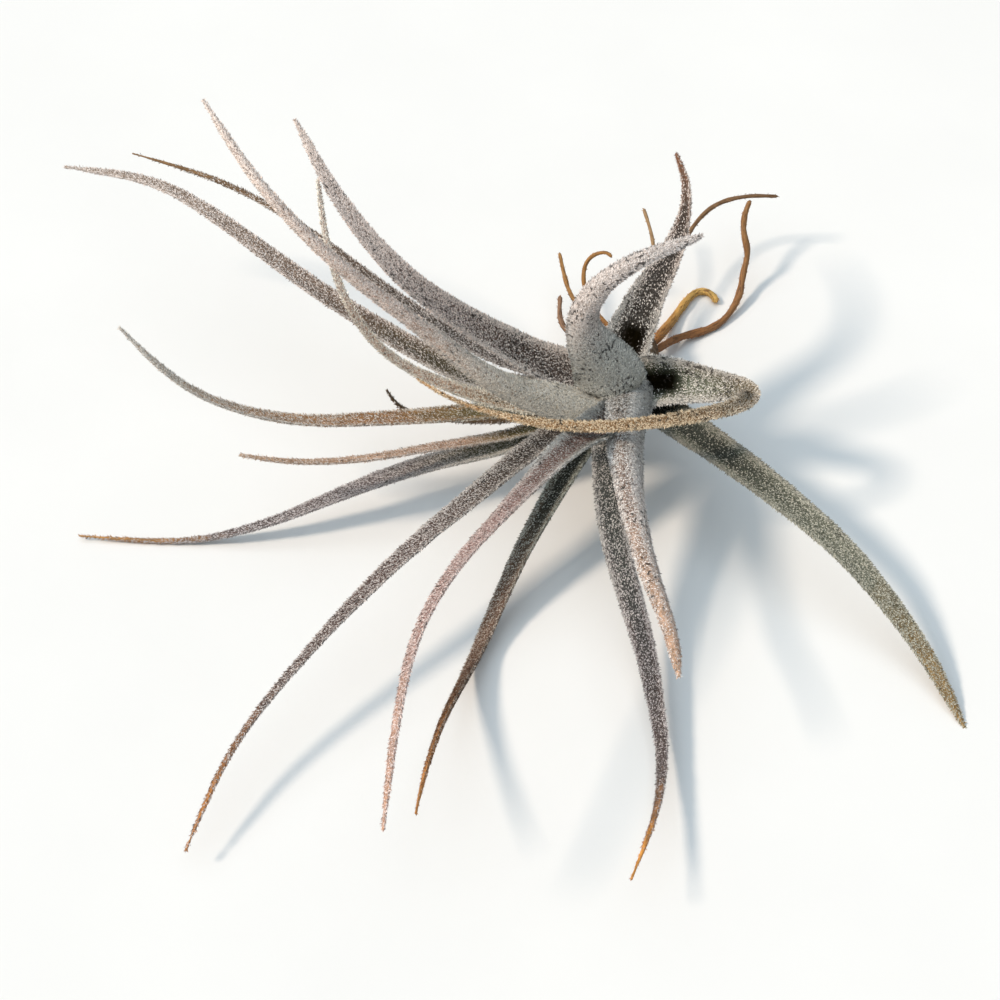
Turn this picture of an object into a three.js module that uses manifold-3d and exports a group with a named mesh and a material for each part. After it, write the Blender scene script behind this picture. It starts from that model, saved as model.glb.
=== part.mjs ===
// A small air plant (Tillandsia), lying on its side as it grew, about 96 mm across.
// Millimetres, +Z up. The origin is under the middle of the plant, on the surface it rests on.
// +X runs along the longest reach of the leaves, and the root end of the stem points to +Y.
// The shoot rises from the roots towards -Y. Its leaves are stiff channelled straps that taper
// to a point, and each one clasps the stem inside the leaves that grew before it.
import * as THREE from "three";
import { mergeVertices } from "three/addons/utils/BufferGeometryUtils.js";
import Module from "manifold-3d";

const wasm = await Module();
wasm.setup();

// ---- driving dimensions -------------------------------------------------------------------
const GAP = 0.35; // clearance between a leaf base and whatever it tucks under
const CUT_TOLERANCE = 0.05; // detail smaller than this is smoothed away where a piece is trimmed
const LEAF_RINGS = 17; // cross-sections along a leaf
const FOLDED_LEAF_RINGS = 30; // the folded leaf is twice as long as the others
const HALF_SECTION = 5; // points across each face of a leaf
const LEAF_TIP_WIDTH = 0.45; // width and thickness of the last cross-section before the point
const LEAF_TIP_THICKNESS = 0.34;
const MARGIN_THINNING = 0.6; // how much thinner a leaf is at its edges than at its midrib
const CHANNEL_FADE = 0.75; // how much of the channel's depth is lost at the tip
const SHEATH_REACH = 0.16; // the share of its length over which most leaves narrow from the sheath
const ROOT_RINGS = 18;
const ROOT_SIDES = 7;
const ROOT_TIP_SCALE = 0.75; // a root's radius at its last ring, as a share of its radius
const STEM_RINGS = 8;
const STEM_SIDES = 14;
const STEM_PATH = [
  [16.2, 19.8, 4.1],
  [15.3, 14.8, 5.9],
  [13.8, 9, 9],
  [12.5, 3.5, 12.8],
  [12.1, 0.8, 14.8],
];
const STEM_RADIUS = 2.4; // at the middle of the stem
const STEM_ROOT_END_SCALE = 0.62; // the ends are rounded off to these shares of the radius
const STEM_TOP_END_SCALE = 0.4;
const STEM_END_LENGTH = 0.25; // the share of the length over which each end rounds off

// ---- leaves -------------------------------------------------------------------------------
// Each leaf has: width of the blade where it starts, width of the sheath at the stem, thickness at
// the midrib, depth of the channel as a share of half the width, taper (1 narrows evenly, less
// stays wide for longer), the way its channel faces, and a path of its midrib from the stem to the
// tip. Some state their own sheath reach. The youngest leaves come first. Each one stops at the
// stem, and an older leaf is trimmed where it tucks under a younger one.
const LEAVES = [
  {
    name: "leaf_right_folded",
    rings: FOLDED_LEAF_RINGS,
    width: 1.8, sheath: 6.6, reach: 0.2, thickness: 0.8, depth: 0.8, taper: 0.7,
    faces: [0.1, -0.6, 0.8], tipFaces: [0, -0.6, 0.8],
    colour: "#9a8f7a",
    path: [[13.4, 6, 13], [18.5, 5.1, 13.8], [23, 3.3, 15.1], [26, 1.8, 16.6], [26.8, -0.4, 18.2],
      [24.8, -2.6, 19.1], [15.5, -5.3, 19.6], [6.5, -5.8, 19.6], [-0.5, -4.8, 20.4], [-5, -3.4, 21],
      [-8.5, -0.6, 21]],
  },
  {
    name: "leaf_top_arched",
    width: 3.6, sheath: 8.8, reach: 0.27, thickness: 1, depth: 0.5, taper: 0.65,
    faces: [0, 0.7, -0.7], tipFaces: [0, 0.4, -0.9],
    colour: "#bfb5ae",
    path: [[12.5, 1.5, 15.5], [10.5, 2.5, 20.5], [8, 3, 25], [9.5, 4.5, 29], [13.5, 6, 31.5],
      [20.7, 10, 31.1]],
  },
  {
    name: "leaf_upper_pale",
    width: 2.2, sheath: 5, reach: 0.22, thickness: 0.9, depth: 0.45, taper: 0.75,
    faces: [0.1, 0.5, -0.85], tipFaces: [0, 0.5, -0.85],
    colour: "#b8aa9f",
    path: [[12, 1, 14.6], [6, -0.5, 17.5], [0, -2.2, 22], [-7.5, -1.5, 29.5], [-16, 0.5, 37],
      [-23, 5.5, 42], [-29.5, 16, 44]],
  },
  {
    name: "leaf_front_rosy",
    width: 1.8, sheath: 4.9, reach: 0.28, thickness: 0.8, depth: 0.6, taper: 0.6,
    faces: [-0.2, -0.4, 0.85], tipFaces: [-0.7, -0.4, 0.5],
    colour: "#b29890",
    path: [[12.3, -0.4, 13.6], [6.9, -9, 19.5], [1.4, -18.5, 23.1], [-3.5, -26.5, 24.9],
      [-7.5, -34.5, 24.8], [-9.5, -44, 22.5], [-10.5, -52.5, 19]],
  },
  {
    name: "leaf_front_white",
    width: 3.8, sheath: 6, reach: 0.27, thickness: 0.9, depth: 0.6, taper: 0.5,
    faces: [-0.4, 0.5, -0.8], tipFaces: [-0.5, 0.2, -0.8],
    colour: "#bcb6ae",
    path: [[12.6, 1, 14.6], [13.2, -5, 17], [13.5, -13, 16.8], [15, -22, 16.2], [16.5, -28.5, 16.8],
      [17, -35, 17.5]],
  },
  {
    name: "leaf_upper_broad",
    width: 4.2, sheath: 5.6, reach: 0.2, thickness: 0.8, depth: 0.55, taper: 0.8,
    faces: [0.2, -0.5, 0.8], tipFaces: [0.4, -0.5, 0.8],
    colour: "#746a6a",
    path: [[11.3, 4.7, 13.4], [5, 6, 15.5], [-1.5, 6.8, 19.8], [-10, 8, 27], [-16.5, 14, 32],
      [-21.5, 24, 34]],
  },
  {
    name: "leaf_twisted",
    width: 1.9, sheath: 3.2, thickness: 0.6, depth: 0.5, taper: 0.8,
    faces: [0, -0.5, 0.9], tipFaces: [0.6, -0.5, 0.6],
    colour: "#b69c88",
    path: [[11.8, 4, 12.4], [2.5, 2.5, 13], [-4.5, 2.2, 16], [-12, 2.8, 21], [-16, 5, 27],
      [-18, 10.5, 31], [-19, 18.5, 33]],
  },
  {
    name: "leaf_top_channelled",
    width: 1.5, sheath: 7, reach: 0.48, thickness: 0.8, depth: 0.8, taper: 0.9,
    faces: [-0.5, -0.75, 0.4], tipFaces: [-0.6, -0.6, 0.5],
    colour: "#5c5955",
    path: [[14, 5.5, 12.5], [14.5, 10, 14.5], [16.5, 14, 18.5], [19.5, 18.5, 22], [20.5, 25, 23],
      [19.5, 31.5, 22]],
  },
  {
    name: "leaf_front_dark",
    width: 4, sheath: 4, thickness: 0.8, depth: 0.5, taper: 1.4,
    faces: [-0.3, 0.2, 0.9], tipFaces: [-0.7, 0.2, 0.7],
    colour: "#5d5450",
    path: [[12.1, 2.3, 12.8], [11.3, -6.5, 11.8], [12.3, -13.5, 8.5], [14.8, -21.5, 4.2], [16.4, -34.2, 2.4],
      [15.4, -41.5, 3.8], [12.4, -50.9, 7]],
  },
  {
    name: "leaf_front_left",
    width: 3.8, sheath: 3.8, thickness: 0.8, depth: 0.55, taper: 1,
    faces: [-0.2, 0.1, 0.9], tipFaces: [-0.4, 0.2, 0.8],
    colour: "#6b5750",
    path: [[11.8, 3, 12.4], [4.5, -2.5, 12.6], [-1, -8.5, 13], [-10, -17, 12], [-19.5, -27, 9],
      [-26.5, -36, 6], [-30.5, -45.5, 3]],
  },
  {
    name: "leaf_right_long",
    width: 4.2, sheath: 4.2, thickness: 0.9, depth: 0.55, taper: 0.55,
    faces: [-0.3, -0.2, 0.9], tipFaces: [0.1, 0, 1],
    colour: "#77786c",
    path: [[16, 4.5, 11], [21, -1, 12], [28.5, -7.5, 11], [35.5, -13, 8.2], [40.8, -18.5, 5],
      [44.5, -23.5, 2.4], [47.5, -29.5, 0]],
  },
  {
    name: "leaf_upper_thin",
    width: 1.8, sheath: 2.6, thickness: 0.6, depth: 0.5, taper: 0.7,
    faces: [0, -0.3, 0.95], tipFaces: [0, -0.3, 0.95],
    colour: "#56402f",
    path: [[12.6, 8.5, 9.8], [0, 8.5, 13.5], [-10.5, 13, 18], [-21, 20, 22], [-30, 25.5, 23.4],
      [-40.5, 30.5, 23]],
  },
  {
    name: "leaf_left_curved",
    width: 2.9, sheath: 3.6, thickness: 0.8, depth: 0.7, taper: 0.8,
    faces: [0, 0, 1], tipFaces: [0.3, 0.2, 0.9],
    colour: "#8f7458",
    path: [[12.8, 6.5, 10], [2, 4, 10.5], [-10, 1, 12.5], [-22.5, -2, 16], [-31.5, -2.5, 21],
      [-35.5, -1, 24.5], [-38.5, 1, 27]],
  },
  {
    name: "leaf_far_left",
    width: 3.4, sheath: 3.8, thickness: 0.8, depth: 0.6, taper: 0.7,
    faces: [0, -0.2, 1], tipFaces: [0, 0, 1],
    colour: "#6e6055",
    path: [[13, 8.5, 8.6], [0, 7, 10.5], [-9.5, 10.5, 13], [-20.5, 16, 17], [-30, 22.5, 20.2],
      [-38, 28, 21], [-48.5, 31.5, 20]],
  },
  {
    name: "leaf_front_olive",
    width: 3.7, sheath: 3.7, thickness: 0.8, depth: 0.55, taper: 0.9,
    faces: [-0.3, 0.1, 0.9], tipFaces: [-0.8, 0.2, 0.4],
    colour: "#5f5343",
    path: [[12, 3, 12], [6, -6, 8.2], [2, -12, 4.4], [-1.6, -19.5, 0.8], [-3.9, -26.3, 2.8],
      [-5.5, -31.6, 5.3], [-7.2, -40.6, 9.3], [-7.9, -46.7, 12]],
  },
  {
    name: "leaf_left_slender",
    width: 1.7, sheath: 3, thickness: 0.6, depth: 0.7, taper: 0.8,
    faces: [0, 0, 1], tipFaces: [0, 0.2, 1],
    colour: "#b09576",
    path: [[13, 7.5, 9], [3, 3, 8], [-7.5, -0.5, 9.5], [-15, -3.3, 11], [-22, -4.8, 12.5],
      [-27, -5, 14]],
  },
  {
    name: "leaf_left_low",
    width: 3.9, sheath: 3.6, thickness: 0.9, depth: 0.55, taper: 0.85,
    faces: [0, 0.2, 0.9], tipFaces: [0, 0.1, 1],
    colour: "#7c7975",
    path: [[13.5, 10, 7.8], [2, 2.5, 6.6], [-8.5, -0.5, 6.3], [-17, -3, 4.6], [-25, -5.2, 2.4],
      [-33.5, -6, 0.3], [-45.5, -5.5, 0.7]],
  },
  {
    name: "leaf_left_short",
    width: 1.8, sheath: 2, thickness: 0.6, depth: 0.5, taper: 0.8,
    faces: [0, -0.2, 1], tipFaces: [0.8, 0, 0.5],
    colour: "#5a4636",
    path: [[13.8, 11, 7.2], [2, 6.4, 6.4], [-6.5, 5.6, 7.3], [-11.3, 5.8, 8.6], [-12.3, 7.4, 9.9]],
  },
];

// ---- roots --------------------------------------------------------------------------------
// Wiry roots with round sections, from the end of the stem outwards.
const ROOTS = [
  { name: "root_far", radius: 0.3, colour: "#8a5a34",
    path: [[16.8, 18.5, 4.6], [19, 27, 6], [22, 34, 7], [25, 37.5, 8], [28.5, 38, 9], [32.5, 38, 9]] },
  { name: "root_curled", radius: 0.45, colour: "#a8713c",
    path: [[16.4, 17.5, 4], [21.2, 23.3, 1], [23.8, 24.5, 0.5], [26.4, 26.5, 0.6], [28.2, 29.6, 1.6],
      [28.5, 31.9, 3], [29.2, 32.9, 4], [28.7, 33.9, 5.5], [28.4, 35.9, 7], [29.3, 37.8, 8.6]] },
  { name: "root_looped", radius: 0.6, colour: "#c08a45",
    path: [[16.4, 18.5, 3.6], [19.8, 25.4, 0.9], [22, 29.4, 0.6], [23.5, 31, 0.6], [24.8, 30.6, 0.6],
      [25.4, 29, 0.6]] },
  { name: "root_left", radius: 0.3, colour: "#96683c",
    path: [[15.6, 18.5, 4.4], [10.5, 22.5, 4.4], [8.1, 26.2, 5], [7.3, 29.4, 5.7], [6.9, 31.6, 6.2]] },
  { name: "root_hooked", radius: 0.3, colour: "#a8713c",
    path: [[15.6, 18.5, 5], [11.8, 22.9, 4], [9.7, 26.6, 5.5], [10, 29.6, 7.2], [12.1, 30.2, 8],
      [12.8, 28.8, 8.4]] },
  { name: "root_short", radius: 0.36, colour: "#9a7355",
    path: [[15.4, 17.5, 4.6], [9, 20.8, 3.2], [7, 22.6, 3.8], [6.9, 25.9, 5]] },
  { name: "root_pale", radius: 0.28, colour: "#b98f68",
    path: [[16.2, 18.5, 5], [17.8, 32, 7], [16.8, 37, 8]] },
];

// ---- shapes -------------------------------------------------------------------------------
const vector = (xyz) => new THREE.Vector3(...xyz);
const curveThrough = (path) => new THREE.CatmullRomCurve3(path.map(vector), false, "centripetal");

// A closed solid from rings of points, all of one length. The last ring closes to a point when
// `apex` is given, and each open end closes with a fan about its first point.
function loft(rings, apex = null) {
  const sides = rings[0].length;
  const vertices = rings.flat();
  const faces = [];
  for (let ring = 0; ring < rings.length - 1; ring++) {
    for (let side = 0; side < sides; side++) {
      const a = ring * sides + side;
      const b = ring * sides + ((side + 1) % sides);
      faces.push(a, b, b + sides, a, b + sides, a + sides);
    }
  }
  const last = (rings.length - 1) * sides;
  for (let side = 1; side < sides - 1; side++) {
    faces.push(0, side + 1, side);
    if (!apex) faces.push(last, last + side, last + side + 1);
  }
  if (apex) {
    vertices.push(apex);
    for (let side = 0; side < sides; side++) {
      faces.push(last + side, last + ((side + 1) % sides), vertices.length - 1);
    }
  }
  const geometry = new THREE.BufferGeometry().setFromPoints(vertices);
  geometry.setIndex(faces);
  return geometry;
}

// The closed outline of a leaf's section, counter-clockwise when seen from the tip. x runs across
// the leaf, and y points the way the channel faces. `grow` fattens it on every side.
function leafSection(width, thickness, depth, grow) {
  const half = width / 2;
  const outer = [];
  const inner = [];
  for (let i = 0; i < HALF_SECTION; i++) {
    const across = (2 * i) / (HALF_SECTION - 1) - 1;
    const rise = depth * half * across * across;
    const thick = thickness * (1 - MARGIN_THINNING * across * across);
    const x = across * (half + grow);
    outer.push(new THREE.Vector2(x, rise - thick / 2 - grow));
    inner.push(new THREE.Vector2(x, rise + thick / 2 + grow));
  }
  return [...outer, ...inner.reverse()];
}

// A leaf with its sections square to the path, turned so that the channel faces the stated way.
function leafGeometry(leaf, grow = 0) {
  const curve = curveThrough(leaf.path);
  const ringCount = leaf.rings ?? LEAF_RINGS;
  const baseFaces = vector(leaf.faces);
  const tipFaces = vector(leaf.tipFaces);
  const rings = [];
  for (let i = 0; i < ringCount; i++) {
    const along = i / ringCount;
    const centre = curve.getPointAt(along);
    const forward = curve.getTangentAt(along);
    if (i === 0) centre.addScaledVector(forward, -grow);
    const up = baseFaces.clone().lerp(tipFaces, along);
    up.addScaledVector(forward, -up.dot(forward)).normalize();
    const across = new THREE.Vector3().crossVectors(up, forward);
    const left = Math.pow(1 - along, leaf.taper);
    const flare = (leaf.sheath - leaf.width) * Math.exp(-((along / (leaf.reach ?? SHEATH_REACH)) ** 2));
    const width = LEAF_TIP_WIDTH + (leaf.width - LEAF_TIP_WIDTH) * left + flare;
    const thickness = LEAF_TIP_THICKNESS + (leaf.thickness - LEAF_TIP_THICKNESS) * left;
    const depth = leaf.depth * (1 - CHANNEL_FADE * along);
    const section = leafSection(width, thickness, depth, grow);
    rings.push(section.map((point) => (
      centre.clone().addScaledVector(across, point.x).addScaledVector(up, point.y)
    )));
  }
  const tip = curve.getPointAt(1).addScaledVector(curve.getTangentAt(1), grow);
  return loft(rings, tip);
}

// A round-sectioned solid along a path. `radiusAt` gives the radius at a share of the length, and
// `grow` fattens the solid on every side. It closes to a point at its end, or flat.
function roundGeometry(path, ringCount, sides, radiusAt, pointed, grow) {
  const curve = curveThrough(path);
  const frames = curve.computeFrenetFrames(ringCount - 1, false);
  const lastAlong = pointed ? (ringCount - 1) / ringCount : 1;
  const rings = [];
  for (let i = 0; i < ringCount; i++) {
    const along = (i / (ringCount - 1)) * lastAlong;
    const centre = curve.getPointAt(along);
    if (along === 0) centre.addScaledVector(curve.getTangentAt(0), -grow);
    if (along === 1) centre.addScaledVector(curve.getTangentAt(1), grow);
    const radius = radiusAt(along) + grow;
    const ring = [];
    for (let side = 0; side < sides; side++) {
      const angle = (side / sides) * 2 * Math.PI;
      ring.push(centre.clone()
        .addScaledVector(frames.normals[i], Math.cos(angle) * radius)
        .addScaledVector(frames.binormals[i], Math.sin(angle) * radius));
    }
    rings.push(ring);
  }
  return loft(rings, pointed ? curve.getPointAt(1) : null);
}

function rootGeometry(root, grow = 0) {
  const radiusAt = (along) => root.radius * (1 - (1 - ROOT_TIP_SCALE) * along);
  return roundGeometry(root.path, ROOT_RINGS, ROOT_SIDES, radiusAt, true, grow);
}

function stemGeometry(grow = 0) {
  const radiusAt = (along) => {
    const fromEnd = Math.min(along, 1 - along) / STEM_END_LENGTH;
    const rounding = Math.sin((Math.min(fromEnd, 1) * Math.PI) / 2);
    const endScale = along < 0.5 ? STEM_ROOT_END_SCALE : STEM_TOP_END_SCALE;
    return STEM_RADIUS * (endScale + (1 - endScale) * rounding);
  };
  return roundGeometry(STEM_PATH, STEM_RINGS, STEM_SIDES, radiusAt, false, grow);
}

// ---- joins --------------------------------------------------------------------------------
function toSolid(geometry) {
  const merged = mergeVertices(geometry, 1e-4);
  return new wasm.Manifold(new wasm.Mesh({
    numProp: 3,
    vertProperties: merged.attributes.position.array,
    triVerts: new Uint32Array(merged.index.array),
  }));
}

function toGeometry(solid) {
  const { vertProperties, triVerts } = solid.getMesh();
  const geometry = new THREE.BufferGeometry();
  geometry.setAttribute("position", new THREE.BufferAttribute(vertProperties, 3));
  geometry.setIndex(new THREE.BufferAttribute(triVerts, 1));
  geometry.computeVertexNormals();
  return geometry;
}

// The solid less each cutter, as one body: crumbs that a cut leaves loose are dropped, and so are
// slivers along its edges.
function trimmed(solid, cutters) {
  const cut = cutters.reduce((rest, cutter) => rest.subtract(cutter), solid).simplify(CUT_TOLERANCE);
  const bodies = cut.decompose();
  return bodies.reduce((most, body) => (body.volume() > most.volume() ? body : most));
}

// ---- the plant ----------------------------------------------------------------------------
const plant = new THREE.Group();

function addPiece(name, solid, colour) {
  const material = new THREE.MeshStandardMaterial({ color: colour, roughness: 0.9, metalness: 0 });
  const mesh = new THREE.Mesh(toGeometry(solid), material);
  mesh.name = name;
  plant.add(mesh);
}

addPiece("stem", toSolid(stemGeometry()), "#6f5a41");

const placed = [toSolid(stemGeometry(GAP))]; // grown copies of what the next pieces must clear
for (const leaf of LEAVES) {
  addPiece(leaf.name, trimmed(toSolid(leafGeometry(leaf)), placed), leaf.colour);
  placed.push(toSolid(leafGeometry(leaf, GAP)));
}
for (const root of ROOTS) {
  addPiece(root.name, trimmed(toSolid(rootGeometry(root)), placed), root.colour);
  placed.push(toSolid(rootGeometry(root, GAP)));
}

// Stand the plant on z = 0, with the middle of its outline over the origin.
const box = new THREE.Box3().setFromObject(plant);
const middle = box.getCenter(new THREE.Vector3());
plant.position.set(-middle.x, -middle.y, -box.min.z);

export default plant;
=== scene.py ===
# %% [markdown]
# # A felted air plant, from its frame
# The plant is about a hand's width across and lies on its side as it grew. Its shape comes from the
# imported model: every leaf, every root and the stem is there as a plain solid. Blender makes what
# those solids leave out: smooth channelled leaves, the felt of pale scales that covers them, their
# dry coloured tips and the wiry bark of the roots. Nothing is moved. Each finished piece lies where
# its solid lies, and stands for it.

# %% Load the frame
import math

import bmesh
import bpy
import numpy as np
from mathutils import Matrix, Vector


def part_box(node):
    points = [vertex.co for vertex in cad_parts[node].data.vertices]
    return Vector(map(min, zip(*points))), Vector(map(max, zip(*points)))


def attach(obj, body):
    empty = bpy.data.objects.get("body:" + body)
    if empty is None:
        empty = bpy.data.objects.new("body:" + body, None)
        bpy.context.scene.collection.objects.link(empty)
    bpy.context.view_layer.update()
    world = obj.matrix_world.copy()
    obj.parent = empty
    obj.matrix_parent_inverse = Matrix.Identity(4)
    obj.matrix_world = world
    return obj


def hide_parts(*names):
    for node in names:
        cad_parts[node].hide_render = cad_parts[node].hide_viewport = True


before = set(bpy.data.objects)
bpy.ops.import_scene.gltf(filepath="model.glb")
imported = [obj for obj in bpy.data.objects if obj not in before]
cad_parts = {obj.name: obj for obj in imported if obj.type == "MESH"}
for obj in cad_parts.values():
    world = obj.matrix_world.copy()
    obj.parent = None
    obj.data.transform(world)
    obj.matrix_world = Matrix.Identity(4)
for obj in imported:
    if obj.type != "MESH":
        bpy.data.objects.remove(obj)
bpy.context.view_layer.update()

MM = 0.001
LEAVES = sorted(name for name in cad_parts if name.startswith("leaf_"))
ROOTS = sorted(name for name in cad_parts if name.startswith("root_"))
print("leaves:", len(LEAVES), "roots:", len(ROOTS))

# %% [markdown]
# ## Reading a slender solid
# A leaf's solid is a tapering strap with a shallow channel, and its mesh is loose triangles. To
# make a finer leaf in the same place, we need its midline, its width, its thickness and the way its
# channel faces, all along it. We could type them in again, but then two lists would have to agree,
# so the script measures the solid instead. It walks from the tip towards the stem in short steps,
# cuts the solid square to its way at each step, and reads the cut: its middle, its area and its
# longest direction. A leaf may fold back on itself, so a cut only counts the part of the solid that
# lies about as far along it as the walker has come.

# %% Find the tip of a slender solid
MERGE_DISTANCE = 1e-6
STEM_LOW, STEM_HIGH = (np.array(corner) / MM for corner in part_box("stem"))
STEM_MIDDLE = (STEM_LOW + STEM_HIGH) / 2


def merged_solid(node):
    """The corner points, in millimetres, and the triangles of a node's solid, corners merged."""
    mesh = bmesh.new()
    mesh.from_mesh(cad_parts[node].data)
    bmesh.ops.remove_doubles(mesh, verts=mesh.verts, dist=MERGE_DISTANCE)
    bmesh.ops.triangulate(mesh, faces=mesh.faces)
    points = np.array([vertex.co[:] for vertex in mesh.verts]) / MM
    triangles = np.array([[vertex.index for vertex in face.verts] for face in mesh.faces])
    mesh.free()
    return points, triangles


def distances_along(points, triangles, start):
    """The length of the shortest way over the solid's edges from one corner to every other."""
    edges = np.vstack([triangles[:, [0, 1]], triangles[:, [1, 2]], triangles[:, [2, 0]]])
    lengths = np.linalg.norm(points[edges[:, 0]] - points[edges[:, 1]], axis=1)
    reached = np.full(len(points), np.inf)
    reached[start] = 0
    while True:
        offered = reached.copy()
        np.minimum.at(offered, edges[:, 1], reached[edges[:, 0]] + lengths)
        np.minimum.at(offered, edges[:, 0], reached[edges[:, 1]] + lengths)
        if np.allclose(offered, reached):
            return reached
        reached = offered


def tip_of(points, triangles):
    """The corner that is farthest from the stem, measured along the solid."""
    nearest = np.argmin(np.linalg.norm(points - STEM_MIDDLE, axis=1))
    return points[np.argmax(distances_along(points, triangles, nearest))]


print("stem middle, mm:", STEM_MIDDLE.round(1))

# %% Cut a solid square to a direction
LEAST_SPREAD = 1e-12


def cut(points, triangles, centre, forward, reach):
    """The outline where a plane through centre cuts the solid, as far as reach from centre."""
    heights = ((points - centre) @ forward)[triangles]
    above = heights > 0
    crossed = above.any(axis=1) & ~above.all(axis=1)
    corners = points[triangles[crossed]]
    heights = heights[crossed]
    above = above[crossed]
    lone_above = above.sum(axis=1) == 1
    lone = np.where(lone_above, above.argmax(axis=1), (~above).argmax(axis=1))
    rows = np.arange(len(lone))
    ends = []
    for step in (1, 2):
        other = (lone + step) % 3
        share = heights[rows, lone] / (heights[rows, lone] - heights[rows, other])
        ends.append(corners[rows, lone] + share[:, None] * (corners[rows, other] - corners[rows, lone]))
    first = np.where(lone_above[:, None], ends[0], ends[1]) - centre
    second = np.where(lone_above[:, None], ends[1], ends[0]) - centre
    near = np.linalg.norm(first, axis=1) < reach
    return first[near], second[near]


def read_cut(first, second, centre, forward):
    """The middle, width direction, width, area and margins of a cut outline."""
    doubled = np.cross(first, second) @ forward
    middle = ((first + second) * doubled[:, None]).sum(axis=0) / (3 * doubled.sum())
    lengths = np.linalg.norm(second - first, axis=1)
    offsets = (first + second) / 2 - middle
    values, directions = np.linalg.eigh((offsets * lengths[:, None]).T @ offsets)
    across = directions[:, 2]
    reach = first @ across
    margins = (first[reach.argmin()] + first[reach.argmax()]) / 2
    return {
        "centre": centre + middle,
        "forward": forward,
        "across": across,
        "flatness": math.sqrt(values[2] / max(values[1], LEAST_SPREAD)),
        "width": np.ptp(reach),
        "area": abs(doubled.sum()) / 2,
        "margins": margins - middle,
    }


# %% Even out a row of values
BELL_REACH = 3


def smoothed(values, samples, weights=None, keep_ends=True):
    """A bell-shaped running mean. With keep_ends, the row's two ends stay where they are."""
    values = np.asarray(values, dtype=float)
    flat = values.reshape(len(values), -1)
    weights = np.ones(len(flat)) if weights is None else np.asarray(weights, dtype=float)
    span = min(int(BELL_REACH * samples), len(flat) - 1)
    bell = np.exp(-0.5 * (np.arange(-span, span + 1) / samples) ** 2)
    before, after = flat[span:0:-1], flat[-2:-span - 2:-1]
    if keep_ends:
        before, after = 2 * flat[0] - before, 2 * flat[-1] - after
    padded = np.vstack([before, flat, after])
    shares = np.concatenate([weights[span:0:-1], weights, weights[-2:-span - 2:-1]])
    total = np.convolve(shares, bell, mode="valid")
    columns = [np.convolve(column * shares, bell, mode="valid") / total for column in padded.T]
    return np.stack(columns, axis=1).reshape(values.shape)


def units(vectors):
    """The same vectors, each one unit long."""
    return vectors / np.linalg.norm(vectors, axis=1)[:, None]


# %% Walk down a solid from its tip
WALK_STEP = 0.4
SAME_STRETCH = 5
WAY_EVENING = 3
LEAST_AREA = 1e-5
FEWEST_EDGES = 3


def walk(node, reach, spread):
    """The tip of a slender solid, and its cuts from the tip to the base, one every WALK_STEP."""
    points, triangles = merged_solid(node)
    tip = tip_of(points, triangles)
    from_tip = distances_along(points, triangles, np.argmin(np.linalg.norm(points - tip, axis=1)))
    marks = np.arange(WALK_STEP, from_tip.max(), WALK_STEP)
    shares = np.exp(-0.5 * ((from_tip - marks[:, None]) / spread) ** 2)
    way = smoothed(shares @ points / shares.sum(axis=1)[:, None], WAY_EVENING)
    forwards = units(np.gradient(way, axis=0))
    stretch = from_tip[triangles].mean(axis=1)
    cuts = []
    for mark, centre, forward in zip(marks, way, forwards):
        same = abs(stretch - mark) < SAME_STRETCH
        first, second = cut(points, triangles[same], centre, forward, reach)
        area = abs((np.cross(first, second) @ forward).sum()) / 2
        if len(first) >= FEWEST_EDGES and area > LEAST_AREA:
            cuts.append(read_cut(first, second, centre, forward))
    return tip, cuts


LEAF_CUT_REACH = 5
LEAF_SPREAD = 1.5
ROOT_CUT_REACH = 1.2
ROOT_SPREAD = 0.8
WALKS = {name: walk(name, LEAF_CUT_REACH, LEAF_SPREAD) for name in LEAVES}
WALKS.update({name: walk(name, ROOT_CUT_REACH, ROOT_SPREAD) for name in ROOTS})
for name, (tip, cuts) in WALKS.items():
    print(f"{name}: {len(cuts)} cuts, about {len(cuts) * WALK_STEP:.0f} mm long")

# %% [markdown]
# ## From cuts to a midline
# The cuts are one after another, but they are rough: the solid has flat facets, and near the stem a
# leaf is trimmed where it tucks under another. We keep the cuts down to where the trimming starts,
# even them out with a bell-shaped average, and bend the midline on into the nearest part of the stem,
# because on the real plant every leaf clasps the stem there. One leaf has an open sheath instead: its
# base ends beside the stem, and is wider than its blade. The section's curve comes from two measured
# things: the area gives the thickness, and the distance from the middle of the cut to the line
# between its margins gives the depth of the channel. The solids taper evenly, but some leaves have
# dried thin towards their tips and one has opened out, so a short table gives these a share of their
# solid's width at a few places.

# %% Read a path at other lengths
def lengths_along(points):
    """The length of a path from its start to each of its points."""
    steps = np.linalg.norm(np.diff(points, axis=0), axis=1)
    return np.concatenate([[0], np.cumsum(steps)])


def at_lengths(lengths, values, wanted):
    """The values of a row, read at other lengths along it."""
    values = np.asarray(values, dtype=float)
    if values.ndim == 1:
        return np.interp(wanted, lengths, values)
    return np.stack([np.interp(wanted, lengths, column) for column in values.T], axis=1)


# %% Even out the cuts of a leaf
MARGIN_THINNING = 0.6
MEAN_THICKNESS_SHARE = 1 - MARGIN_THINNING / 3
MIDDLE_RISE_SHARE = (1 / 3 - MARGIN_THINNING / 5) / MEAN_THICKNESS_SHARE
WHOLE_SHARE = 0.8
SPARE_CUTS = 3
FEWEST_CUTS = 6
EVENING = 4
ROUND_FLATNESS = 1.3
LEAST_TRUST = 0.02
MOST_TRUST = 4


def whole_cuts(cuts):
    """The cuts from the tip down to where the leaf is trimmed by its neighbours, base first."""
    widest = largest = 0
    count = 0
    for section in cuts:
        widest = max(widest, section["width"])
        largest = max(largest, section["area"])
        if section["width"] < WHOLE_SHARE * widest or section["area"] < WHOLE_SHARE * largest:
            break
        count += 1
    return cuts[:max(count - SPARE_CUTS, FEWEST_CUTS)][::-1]


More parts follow.
